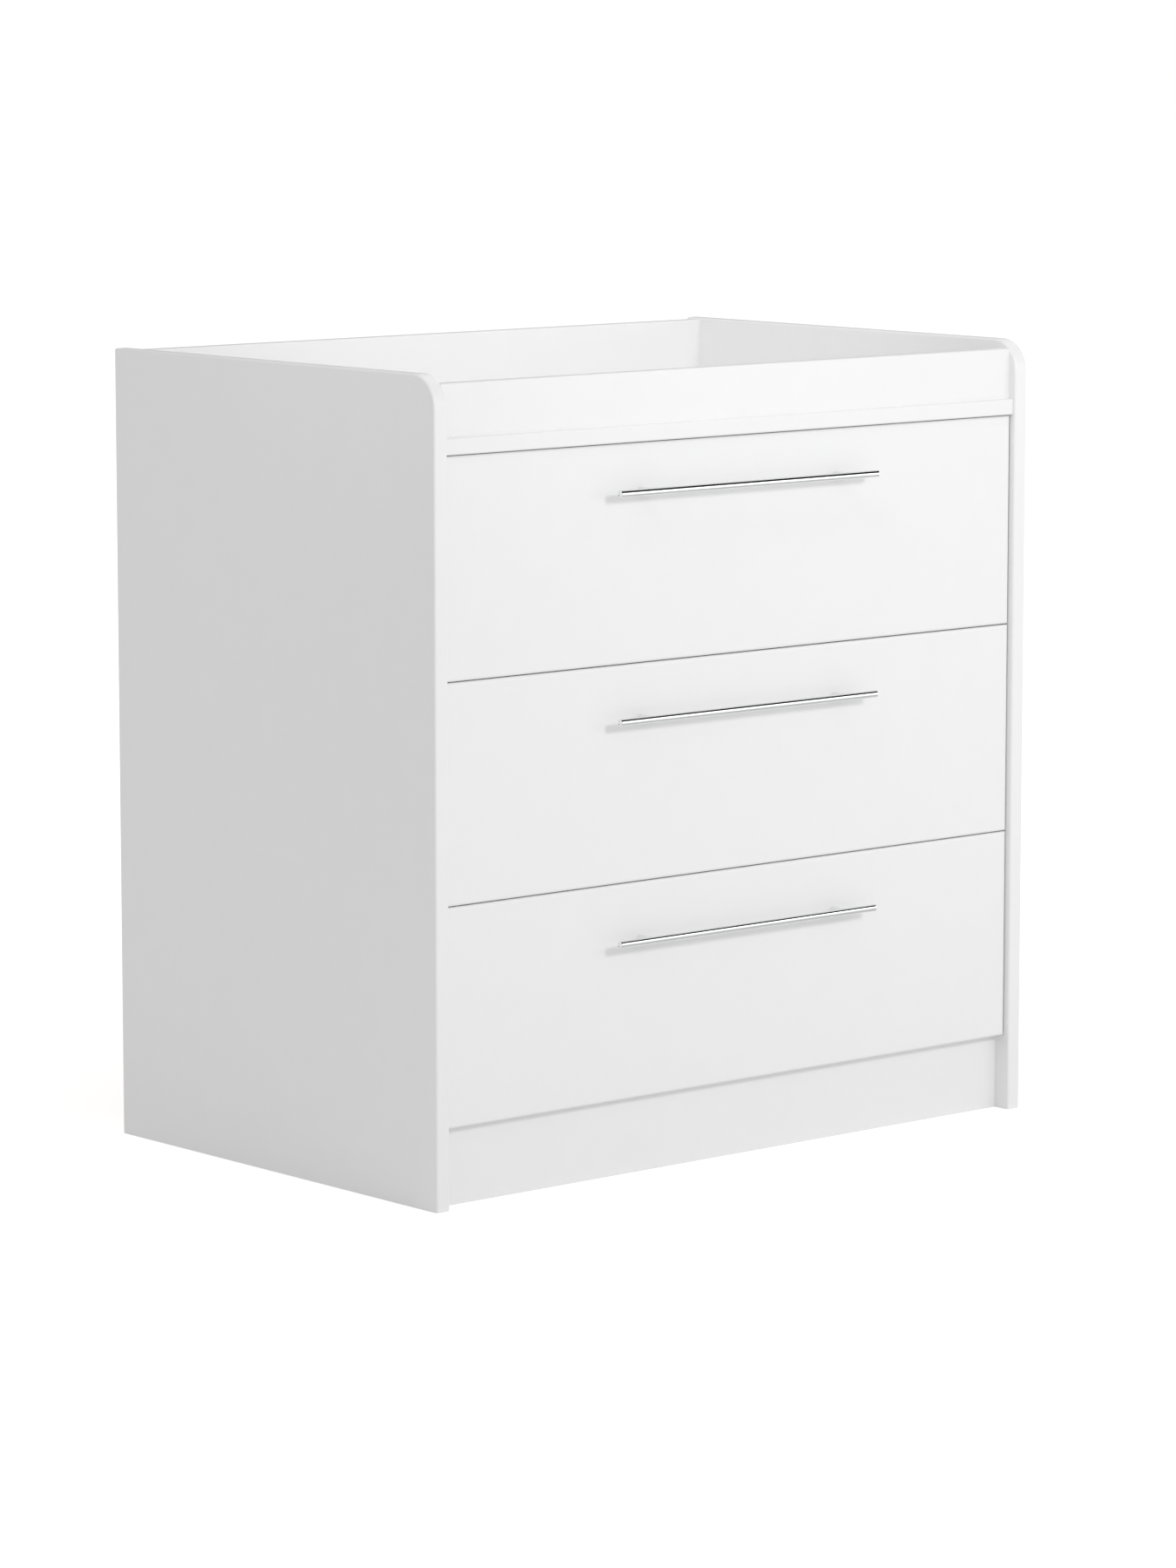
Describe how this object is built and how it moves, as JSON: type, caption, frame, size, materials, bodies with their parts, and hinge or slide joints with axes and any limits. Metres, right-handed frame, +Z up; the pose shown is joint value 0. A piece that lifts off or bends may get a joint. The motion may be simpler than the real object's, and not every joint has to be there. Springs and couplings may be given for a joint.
{
  "type": "changing table",
  "caption": "White changing table: recessed changing deck with low gallery rails above wide drawers on roller runners, with chrome bar handles and a recessed plinth.",
  "frame": {"origin": "on the floor, at the middle of the bounding box", "axes": "+Z is up, the drawers open towards -Y, and +X is to the right for someone facing the front"},
  "size_m": [0.872, 0.577, 0.89],
  "materials": {
    "white_board": "satin",
    "drawer_board": "matt",
    "hardboard": "matt",
    "strip_plastic": "matt",
    "chrome": "polished",
    "runner_steel": "satin",
    "zinc_steel": "zinc plated",
    "nylon": "satin",
    "beech": "raw"
  },
  "bodies": {
    "cabinet": {"left_side_panel": "white_board", "right_side_panel": "white_board", "changing_deck": "white_board", "front_gallery_rail": "white_board", "back_gallery_rail": "white_board", "base_board": "white_board", "front_plinth": "white_board", "rear_plinth": "white_board", "upper_back_panel": "hardboard", "lower_back_panel": "hardboard", "back_joint_strip": "strip_plastic", "back_nails": "zinc_steel", "cam_locks": "zinc_steel", "cam_bolts": "zinc_steel", "wood_dowels": "beech", "rail_screws": "zinc_steel", "cabinet_runners": "runner_steel", "cabinet_runner_screws": "zinc_steel"},
    "bottom_drawer": {"bottom_drawer_front": "white_board", "bottom_drawer_left_side": "drawer_board", "bottom_drawer_right_side": "drawer_board", "bottom_drawer_back": "drawer_board", "bottom_drawer_base": "hardboard", "bottom_drawer_cams": "zinc_steel", "bottom_drawer_bolts": "zinc_steel", "bottom_drawer_runners": "runner_steel", "bottom_drawer_screws": "zinc_steel", "bottom_handle_bar": "chrome", "bottom_handle_posts": "chrome", "bottom_handle_screws": "zinc_steel"},
    "bottom_cabinet_rollers": {"bottom_cabinet_rollers": "nylon"},
    "bottom_drawer_rollers": {"bottom_drawer_rollers": "nylon"},
    "middle_drawer": {"middle_drawer_front": "white_board", "middle_drawer_left_side": "drawer_board", "middle_drawer_right_side": "drawer_board", "middle_drawer_back": "drawer_board", "middle_drawer_base": "hardboard", "middle_drawer_cams": "zinc_steel", "middle_drawer_bolts": "zinc_steel", "middle_drawer_runners": "runner_steel", "middle_drawer_screws": "zinc_steel", "middle_handle_bar": "chrome", "middle_handle_posts": "chrome", "middle_handle_screws": "zinc_steel"},
    "middle_cabinet_rollers": {"middle_cabinet_rollers": "nylon"},
    "middle_drawer_rollers": {"middle_drawer_rollers": "nylon"},
    "top_drawer": {"top_drawer_front": "white_board", "top_drawer_left_side": "drawer_board", "top_drawer_right_side": "drawer_board", "top_drawer_back": "drawer_board", "top_drawer_base": "hardboard", "top_drawer_cams": "zinc_steel", "top_drawer_bolts": "zinc_steel", "top_drawer_runners": "runner_steel", "top_drawer_screws": "zinc_steel", "top_handle_bar": "chrome", "top_handle_posts": "chrome", "top_handle_screws": "zinc_steel"},
    "top_cabinet_rollers": {"top_cabinet_rollers": "nylon"},
    "top_drawer_rollers": {"top_drawer_rollers": "nylon"}
  },
  "joints": [
    {"name": "bottom_drawer_slide", "type": "slide", "parent": "cabinet", "child": "bottom_drawer", "axis": [0, -1, 0], "range_m": [0, 0.34]},
    {"name": "bottom_cabinet_rollers_turn", "type": "hinge", "parent": "cabinet", "child": "bottom_cabinet_rollers", "pos_m": [0, -0.2325, 0.1265], "axis": [1, 0, 0], "range_deg": [0, 2165]},
    {"name": "bottom_drawer_rollers_turn", "type": "hinge", "parent": "bottom_drawer", "child": "bottom_drawer_rollers", "pos_m": [0, 0.1935, 0.1238], "axis": [1, 0, 0], "range_deg": [0, 2165]},
    {"name": "middle_drawer_slide", "type": "slide", "parent": "cabinet", "child": "middle_drawer", "axis": [0, -1, 0], "range_m": [0, 0.34]},
    {"name": "middle_cabinet_rollers_turn", "type": "hinge", "parent": "cabinet", "child": "middle_cabinet_rollers", "pos_m": [0, -0.2325, 0.36583], "axis": [1, 0, 0], "range_deg": [0, 2165]},
    {"name": "middle_drawer_rollers_turn", "type": "hinge", "parent": "middle_drawer", "child": "middle_drawer_rollers", "pos_m": [0, 0.1935, 0.36313], "axis": [1, 0, 0], "range_deg": [0, 2165]},
    {"name": "top_drawer_slide", "type": "slide", "parent": "cabinet", "child": "top_drawer", "axis": [0, -1, 0], "range_m": [0, 0.34]},
    {"name": "top_cabinet_rollers_turn", "type": "hinge", "parent": "cabinet", "child": "top_cabinet_rollers", "pos_m": [0, -0.2325, 0.60517], "axis": [1, 0, 0], "range_deg": [0, 2165]},
    {"name": "top_drawer_rollers_turn", "type": "hinge", "parent": "top_drawer", "child": "top_drawer_rollers", "pos_m": [0, 0.1935, 0.60247], "axis": [1, 0, 0], "range_deg": [0, 2165]}
  ],
  "couplings": [
    {"joint": "bottom_cabinet_rollers_turn", "follows": "bottom_drawer_slide", "rad_per_m": 111.11},
    {"joint": "bottom_drawer_rollers_turn", "follows": "bottom_drawer_slide", "rad_per_m": 111.11},
    {"joint": "middle_cabinet_rollers_turn", "follows": "middle_drawer_slide", "rad_per_m": 111.11},
    {"joint": "middle_drawer_rollers_turn", "follows": "middle_drawer_slide", "rad_per_m": 111.11},
    {"joint": "top_cabinet_rollers_turn", "follows": "top_drawer_slide", "rad_per_m": 111.11},
    {"joint": "top_drawer_rollers_turn", "follows": "top_drawer_slide", "rad_per_m": 111.11}
  ]
}
